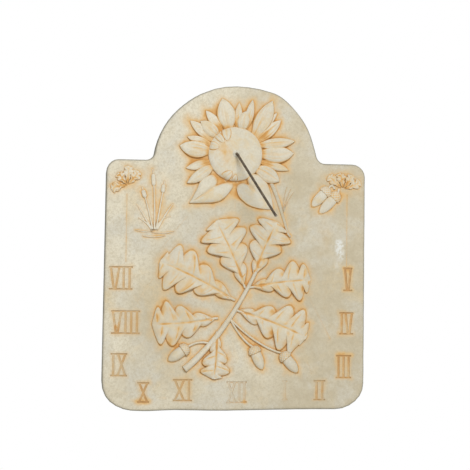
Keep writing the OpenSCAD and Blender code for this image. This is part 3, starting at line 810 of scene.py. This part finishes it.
def acorn(form, rim, point, width, relief, reach, strength):
    # spun round its own long axis, the cup with rows of scales, then sunk in the face
    stain = form.verts.layers.float["stain"]
    earlier = set(form.verts)
    a, b = Vector(rim), Vector(point)
    length = (b - a).length
    nut = [(0, 0.9), (0.15, 0.99), (0.4, 1), (0.62, 0.88), (0.8, 0.6), (0.91, 0.32), (0.95, 0.13), (1, 0.0)]
    cup = [(0, 0.0), (0.04, 0.45), (0.2, 0.86), (0.5, 1.1), (0.8, 1.22), (0.93, 1.2), (1, 0.9)]
    for table, low, high, steps, scales in ((nut, -0.02, 1, 26, 0), (cup, -0.36, 0.04, 22, 1)):
        whole = set(form.verts)
        profile = []
        for k in range(steps + 1):
            t = k / steps
            profile.append((along(table, t) * width / 2, length * (low + (high - low) * t), 0))
        lathe(form, profile, "Y", 48)
        for vert in form.verts:
            if scales and vert not in whole:
                turn = math.atan2(vert.co.z, vert.co.x)
                row = (vert.co.y / length + 0.36) / 0.4 * 5
                bump = math.cos(11 * turn + math.pi * int(row)) * math.sin(math.pi * (row % 1))
                vert.co.x *= 1 + 0.05 * bump
                vert.co.z *= 1 + 0.05 * bump
                vert[stain] = clamp(0.35 - 0.5 * bump)
    bmesh.ops.remove_doubles(form, verts=[vert for vert in form.verts if vert not in earlier], dist=0.002)
    made = [vert for vert in form.verts if vert not in earlier]
    run = b - a
    turn = Matrix.Rotation(math.atan2(run.y, run.x) - math.pi / 2, 4, "Z")
    place = Matrix.Translation((a.x, a.y, 0)) @ turn @ Matrix.Diagonal((1, 1, relief * 2 / width, 1))
    bmesh.ops.transform(form, matrix=place, verts=made)
    for vert in made:
        vert[stain] = max(vert[stain], 1 - ramp(vert.co.z, 0.2, relief * 0.6))
    sinkFoot(form, made, reach, strength)


def makeAcorns(name, node, acorns, width, relief, reach, strength, material):
    form = newForm()
    for start, rim, point in acorns:
        acorn(form, rim, point, width, relief, reach, strength)
        a, b = Vector(start), Vector(rim)
        b = b + (b - Vector(point)) * 0.3
        pull = Vector(((a.x + b.x) / 2, b.y + 8))
        strand(form, arc(a, pull, b), lambda t: 3, lambda t: relief * 0.5, 12, 22, 0.15, reach, strength, 2)
    finishPiece(name, form, material, [node])


makeBough()
makeAcorns(
    "bough_acorn_group", "oak_acorns", bough["acorns"], bough["acornWidth"], bough["acornRelief"], 5, 1,
    boughStone,
)


# Corner ornament

corners = {
    "relief": 2.5,
    # small leaves as root, tip, width and bend
    "left": [
        ((-128, -40), (-147, -45), 13, -0.06), ((-128, -39), (-138, -26), 13, 0.06),
        ((-127, -38), (-125, -18), 13, 0.04), ((-126, -39), (-114, -24), 13, -0.06),
    ],
    "right": [
        ((124, -38), (109, -24), 13, 0.06), ((126, -38), (123, -21), 13, 0.04),
        ((127, -38), (137, -23), 12, -0.05), ((128, -39), (147, -31), 12, -0.05),
    ],
    # hanging acorns as the stalk's start, the cup's rim and the point
    "pair": [((121, -42), (115, -51), (97, -70)), ((116, -40), (104, -45), (88, -62))],
    "pairWidth": 12.4,
    "pairRelief": 3.4,
}
rushes = {
    # each as its root, pull and tip
    "stalks": [
        ((-95, -91), (-94, -60), (-98, -21)), ((-93, -91), (-88, -60), (-84, -35)),
        ((-97, -91), (-102, -66), (-110, -42)),
    ],
    "blades": [
        ((-92, -91), (-80, -68), (-73, -60)), ((-94, -91), (-85, -74), (-76, -76)),
        ((-98, -91), (-108, -74), (-116, -62)), ((-98, -91), (-104, -82), (-114, -78)),
    ],
    "ripples": [
        ((-117, -92), (-106, -95), (-95, -92)), ((-99, -94), (-86, -97), (-72, -93)),
        ((-108, -99), (-96, -101), (-82, -98)),
    ],
    "head": 5.4,
    "relief": 2.6,
}


def makeSpray(name, node, leaves):
    form = newForm()
    for k, (root, tip, width, bend) in enumerate(leaves):
        shape = oakShape(root, tip, width, corners["relief"], 2.6, bend, 0.42, seed=k + 3)
        pillow(form, shape, 20, 44, 6, 0.75)
    finishPiece(name, form, budStone, [node])


def blunt(t):   # a bar with round ends
    return max(0.05, 1 - abs(2 * t - 1) ** 5) ** 0.5


def makeRushes():
    form = newForm()
    high = rushes["relief"]
    for k, stalk in enumerate(rushes["stalks"]):
        path = arc(*stalk)
        strand(form, path, taper(2.5, 1.2), lambda t: high * (0.7 - 0.25 * t), 12, 30, 0, 6, 0.75, k)
        strand(
            form, lambda t: path(0.74 + 0.19 * t), lambda t: rushes["head"] * blunt(t),
            lambda t: high * blunt(t), 18, 26, 0.1, 6, 0.8, k + 5,
        )
    for k, blade in enumerate(rushes["blades"]):
        strand(
            form, arc(*blade), lambda t: 3.3 * (1 - 0.78 * t), lambda t: high * 0.6 * (1 - 0.6 * t),
            10, 22, 0, 4, 0.7, k,
        )
    for k, ripple in enumerate(rushes["ripples"]):
        strand(
            form, arc(*ripple), lambda t: 0.4 + 1.1 * math.sin(math.pi * t), lambda t: high * 0.4,
            8, 22, 0, 3, 0.8, k,
        )
    finishPiece("rush_clump", form, budStone, ["bulrushes"])


makeSpray("left_leaf_spray", "spray_left", corners["left"])
makeSpray("right_leaf_spray", "spray_right", corners["right"])
makeAcorns(
    "hanging_acorn_pair", "acorn_pair", corners["pair"], corners["pairWidth"], corners["pairRelief"],
    4.5, 0.85, budStone,
)
makeRushes()


# Slab, with the stain that runs out from everything it carries

slab = {
    "cell": 1.6,
    # how strongly each numeral and line holds its wash
    "washes": {
        "numeral_vii": 0.6, "numeral_viii": 0.57, "numeral_ix": 0.6, "numeral_x": 0.72, "numeral_xi": 0.66,
        "numeral_xii": 0.08, "numeral_i": 0.15, "numeral_ii": 0.6, "numeral_iii": 0.95, "numeral_iv": 0.75,
        "numeral_v": 0.85, "hour_lines": 0.16, "drop_lines": 0.4,
    },
    # numerals and lines whose grooves are nearly full
    "fills": {"numeral_xii": 0.3, "numeral_i": 0.5, "hour_lines": 0.15, "drop_lines": 0.08},
    "emptyFill": 0.1,       # for all others
    "grooveReach": 3.1,     # how far the stain spreads beside a groove, and how strongly
    "grooveShare": 0.6,
    "flowerHaze": 0.6,      # the wash that was left round the whole flower
    # loose smears of wash on the face, and below zero the rubbed spots:
    # x, y, half width, half height and strength
    "smears": [
        (-106, -289, 11, 3.6, 0.9), (-81, -285.5, 7.5, 2.4, 0.5), (-60, -262, 12, 4, 0.2),
        (-69, -277, 4, 14, -0.3), (12, -290.5, 4.5, 2.4, 0.7), (59, -284, 4, 8, 0.45),
        (89, -270, 5, 10, -0.36), (1, -278, 13, 15, -0.32), (13, -279, 2.6, 12, 0.6),
        (128, -233, 10, 3.5, 0.4), (133, -133, 7, 4, 0.45), (-137.5, -204, 1.3, 2.2, 0.9),
        (60.5, -94.5, 5, 2, 0.8), (60, -66, 9, 26, 0.2), (150, -60, 6, 40, 0.12),
        (122, -107, 6, 9.5, -1.1), (118, -129, 6.5, 11, -0.62), (126, -118, 5, 8, -0.5),
        (122, -47, 14, 6, 0.45), (-62, 40, 14, 12, 0.16), (40, 66, 20, 8, 0.16),
        (-40, -64, 26, 6, 0.2), (88, -20, 9, 26, 0.12), (106, -100, 14, 46, 0.22),
        (112, -205, 14, 40, 0.15),
    ],
}


def smeared(x, y):
    total = 0
    for sx, sy, wide, tall, strong in slab["smears"]:
        off = ((x - sx) / wide) ** 2 + ((y - sy) / tall) ** 2
        if off < 6:
            total += strong * math.exp(-off) * (0.75 + 0.6 * drift(x, y, 7, 8))
    return total


def castCopy(node):
    # the CAD mesh, merged into one skin, with its flat faces joined
    form = newForm()
    form.from_mesh(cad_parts[node].data)
    bmesh.ops.transform(form, matrix=faceMatrix.inverted(), verts=form.verts)
    bmesh.ops.remove_doubles(form, verts=form.verts, dist=0.004)
    bmesh.ops.dissolve_limit(form, angle_limit=math.radians(0.4), verts=form.verts, edges=form.edges)
    return form


def cutIntoCells(form, cell, deepest=-5.0):
    # straight cuts across the face, so that wear and stain have points to lie on
    for axis, normal in enumerate((Vector((1, 0, 0)), Vector((0, 1, 0)))):
        low = min(vert.co[axis] for vert in form.verts)
        high = max(vert.co[axis] for vert in form.verts)
        faces = [face for face in form.faces if face.calc_center_median().z > deepest]
        count = max(2, round((high - low) / cell))
        for k in range(1, count):
            place = low + (high - low) * k / count
            edges = {edge: 0 for face in faces for edge in face.edges}
            verts = {vert: 0 for face in faces for vert in face.verts}
            cut = bmesh.ops.bisect_plane(
                form, geom=list(verts) + list(edges) + faces, dist=0.0005,
                plane_co=normal * place, plane_no=normal,
            )
            faces = [item for item in cut["geom"] if isinstance(item, bmesh.types.BMFace)
                     and item.calc_center_median()[axis] > place]


def stainTree(entries):
    tree = KDTree(len(entries))
    for k, entry in enumerate(entries):
        tree.insert((entry[0], entry[1], 0), k)
    tree.balance()
    return tree


def makeWashes():
    for node, strength in slab["washes"].items():
        form = castCopy(node)
        stain = form.verts.layers.float["stain"]
        cutIntoCells(form, slab["cell"], -10)
        fill = slab["fills"].get(node, slab["emptyFill"])
        for vert in form.verts:
            x, y, z = vert.co
            vert[stain] = strength * (1 + 0.25 * drift(x, y, 6, 3)) + smeared(x, y)
            grooveMarks.append((x, y, slab["grooveReach"], strength))
            if z > -1.1:   # the top of the wash
                vert.co.z += fill + 0.06 * drift(x, y, 1.7, 4)
        finishPiece(node + "_wash", form, washStone, [node], crisp=True)


def makeSlab():
    form = castCopy("stone_slab")
    stain = form.verts.layers.float["stain"]
    cutIntoCells(form, slab["cell"])
    print("slab cut into", len(form.faces), "faces")
    reliefTree = stainTree(haloPlaces)
    grooveTree = stainTree(grooveMarks)
    for vert in form.verts:
        x, y, z = vert.co
        if z < -6:
            vert[stain] = 0
            continue
        uneven = 1 + 0.7 * drift(x, y, 13, 6) + 0.35 * drift(x, y, 4, 7)
        patchy = 1 + 0.7 * drift(x, y, 19, 9) + 0.3 * drift(x, y, 7, 10)
        index, away = reliefTree.find((x, y, 0))[1:]
        reach, strength = haloPlaces[index][2:]
        held = strength * patchy * max(hump(away, 1.6 * uneven), 0.48 * hump(away, 1.25 * reach * uneven))
        index, away = grooveTree.find((x, y, 0))[1:]
        reach, strength = grooveMarks[index][2:]
        held = max(held, strength * slab["grooveShare"] * hump(away, reach * uneven))
        out = (Vector((x, y)) - flower["centre"]).length
        held += slab["flowerHaze"] * patchy * (1 - ramp(out, 40, 66)) * (1 - 0.6 * ramp(-y, 28, 46))
        vert[stain] = clamp(held + smeared(x, y), -1)
    finishPiece("cast_slab", form, fieldStone, ["stone_slab"], crisp=True)


makeWashes()
makeSlab()


# Gnomon

gnomon = {
    "rod": 3.0,             # its thickness
    "arm": 108,
    "tilt": 50,             # of the arm, from the normal of the face
    "swing": 25.5,          # of the arm to the side
    "bend": 6,              # radius of the bend, which starts at the next height
    "bendStart": 8.5,
    "foot": 14.5,           # depth in the slab
    "collar": [(0, 8.6), (1.6, 8.6), (2.6, 8.3), (3.6, 7.85), (4.6, 7.2), (5, 6.4), (4.9, 5.2), (0, 5.2)],
}


def rodPlace(angle, reach, radius=1.0):
    g = gnomon
    a = math.radians(angle)
    inPlane = g["bend"] * (1 - math.cos(a)) + reach * math.sin(a)
    high = g["bendStart"] + g["bend"] * math.sin(a) + reach * math.cos(a)
    swing = Matrix.Translation((*dialCentre, 0)) @ Matrix.Rotation(math.radians(g["swing"] - 90), 4, "Z")
    size = g["rod"] / 2 * radius
    return (swing @ Matrix.Translation((inPlane, 0, high)) @ Matrix.Rotation(a, 4, "Y")
            @ Matrix.Diagonal((size, size, 1, 1)))


def makeRod():
    g = gnomon
    form = newForm()
    foot = rodPlace(0, 0) @ Matrix.Translation((0, 0, -g["foot"] - g["bendStart"]))
    places = [foot @ Matrix.Translation((0, 0, k * (g["foot"] + g["bendStart"]) / 5)) for k in range(5)]
    places += [rodPlace(g["tilt"] * k / 14, 0) for k in range(15)]
    last = g["arm"] - 0.5
    for k in range(1, 41):
        reach = last * k / 40
        worn = 0.99 + 0.01 * noise.noise(Vector((reach / 7, 1.3, 0)))
        places.append(rodPlace(g["tilt"], reach, worn))
    places.append(rodPlace(g["tilt"], g["arm"] - 0.25, 0.84))
    places.append(rodPlace(g["tilt"], g["arm"] - 0.05, 0.7))
    bmesh.ops.create_circle(form, cap_ends=True, segments=24, radius=1, matrix=places[0])
    edges = form.edges[:]
    for before, place in zip(places, places[1:]):
        ring, edges = grow(form, edges)
        bmesh.ops.transform(form, matrix=place @ before.inverted(), verts=ring)
    bmesh.ops.edgeloop_fill(form, edges=edges)
    for vert in ring:
        vert[form.verts.layers.float["stain"]] = 1   # the bright cut end
    finishPiece("bent_rod", form, darkSteel, ["gnomon_rod"], weather=False)


def makeCollar():
    form = newForm()
    lathe(form, [(radius, 0, high) for radius, high in gnomon["collar"]], "Z", 64)
    for vert in form.verts:
        out = math.hypot(vert.co.x, vert.co.y)
        uneven = 1 + 0.12 * noise.noise(Vector((vert.co.x / 3, vert.co.y / 3, 2))) * ramp(out, 2, 4.6) - 0.06
        vert.co.x = vert.co.x * uneven + dialCentre.x
        vert.co.y = vert.co.y * uneven + dialCentre.y
    finishPiece("resin_collar", form, paleResin, ["gnomon_resin"], weather=False)


makeRod()
makeCollar()


# Room, light and camera

studio = {
    "floorHeight": -0.585,
    "floorMiddle": -1.1,
    "floorHalf": (2.6, 2.1),    # half its width and depth
    "floorColour": linear(236, 234, 230),
    "fill": 0.17,
    "keyPlace": Vector((0.1, -2.75, 1.3)),
    "aim": Vector((0, 0, -0.13)),
    "keyLong": 1.6,
    "keyShort": 0.5,
    "keyPower": 68,
    "backPlace": Vector((1.3, 2.2, 1.1)),
    "backSize": 1.5,
    "backPower": 36,
}
view = {
    "place": Vector((-0.1788, -1.6006, -0.2076)),
    "aim": Vector((0.0004, -0.012, -0.1292)),
    "roll": 0.68,
    "lens": 104.5,
}


def lookFrom(place, aim, roll):
    turn = (aim - place).to_track_quat("-Z", "Y").to_matrix().to_4x4()
    return Matrix.Translation(place) @ turn @ Matrix.Rotation(math.radians(roll), 4, "Z")


def makeFloor():
    form = bmesh.new()
    bmesh.ops.create_grid(form, x_segments=2, y_segments=2, size=1)
    place = Matrix.Translation((0, studio["floorMiddle"], studio["floorHeight"]))
    bmesh.ops.transform(form, verts=form.verts, matrix=place @ Matrix.Diagonal((*studio["floorHalf"], 1, 1)))
    f = Finish("pale floor")
    colour = f.blend(f.span(f.noise(3, 2), 0.3, 0.7, 0, 0.3), studio["floorColour"], linear(228, 226, 221))
    roughness = f.span(f.noise(5, 2), 0.3, 0.7, 0.8, 0.9)
    paleFloor = f.finish(colour, roughness, f.relief(f.noise(200, 2), 0.02, 0.001))
    meshObject("studio_floor", form, paleFloor)


def softLamp(name, place, wide, tall, power):
    light = bpy.data.lights.new(name, "AREA")
    light.shape = "RECTANGLE"
    light.size = wide
    light.size_y = tall
    light.energy = power
    addObject(name, light).matrix_world = lookFrom(place, studio["aim"], 0)


def makeLight():
    world = bpy.data.worlds.new("studio_world")
    bpy.context.scene.world = world
    world.use_nodes = True
    tree = world.node_tree
    tree.nodes.clear()
    # the camera, gloss and glass see white, and the object is lit by a weaker grey
    path = tree.nodes.new("ShaderNodeLightPath")
    shown = path.outputs["Is Camera Ray"]
    for kind in ("Is Glossy Ray", "Is Transmission Ray"):
        either = tree.nodes.new("ShaderNodeMath")
        either.operation = "MAXIMUM"
        tree.links.new(shown, either.inputs[0])
        tree.links.new(path.outputs[kind], either.inputs[1])
        shown = either.outputs[0]
    mix = tree.nodes.new("ShaderNodeMixShader")
    tree.links.new(shown, mix.inputs[0])
    for socket, strength in ((1, studio["fill"]), (2, 1)):
        glow = tree.nodes.new("ShaderNodeBackground")
        glow.inputs["Color"].default_value = (1, 1, 1, 1)
        glow.inputs["Strength"].default_value = strength
        tree.links.new(glow.outputs[0], mix.inputs[socket])
    out = tree.nodes.new("ShaderNodeOutputWorld")
    tree.links.new(mix.outputs[0], out.inputs["Surface"])

    softLamp("soft_key", studio["keyPlace"], studio["keyLong"], studio["keyShort"], studio["keyPower"])
    softLamp("back_light", studio["backPlace"], studio["backSize"], studio["backSize"], studio["backPower"])


def makeCamera():
    lens = bpy.data.cameras.new("photo_view")
    lens.lens = view["lens"]
    lens.sensor_width = 36
    lens.clip_start = 0.05
    camera = addObject("photo_view", lens)
    camera.matrix_world = lookFrom(view["place"], view["aim"], view["roll"])
    bpy.context.scene.camera = camera


makeFloor()
makeLight()
makeCamera()
bpy.context.scene.view_settings.view_transform = "Standard"
print("room, light and camera ready")

bpy.context.view_layer.update()
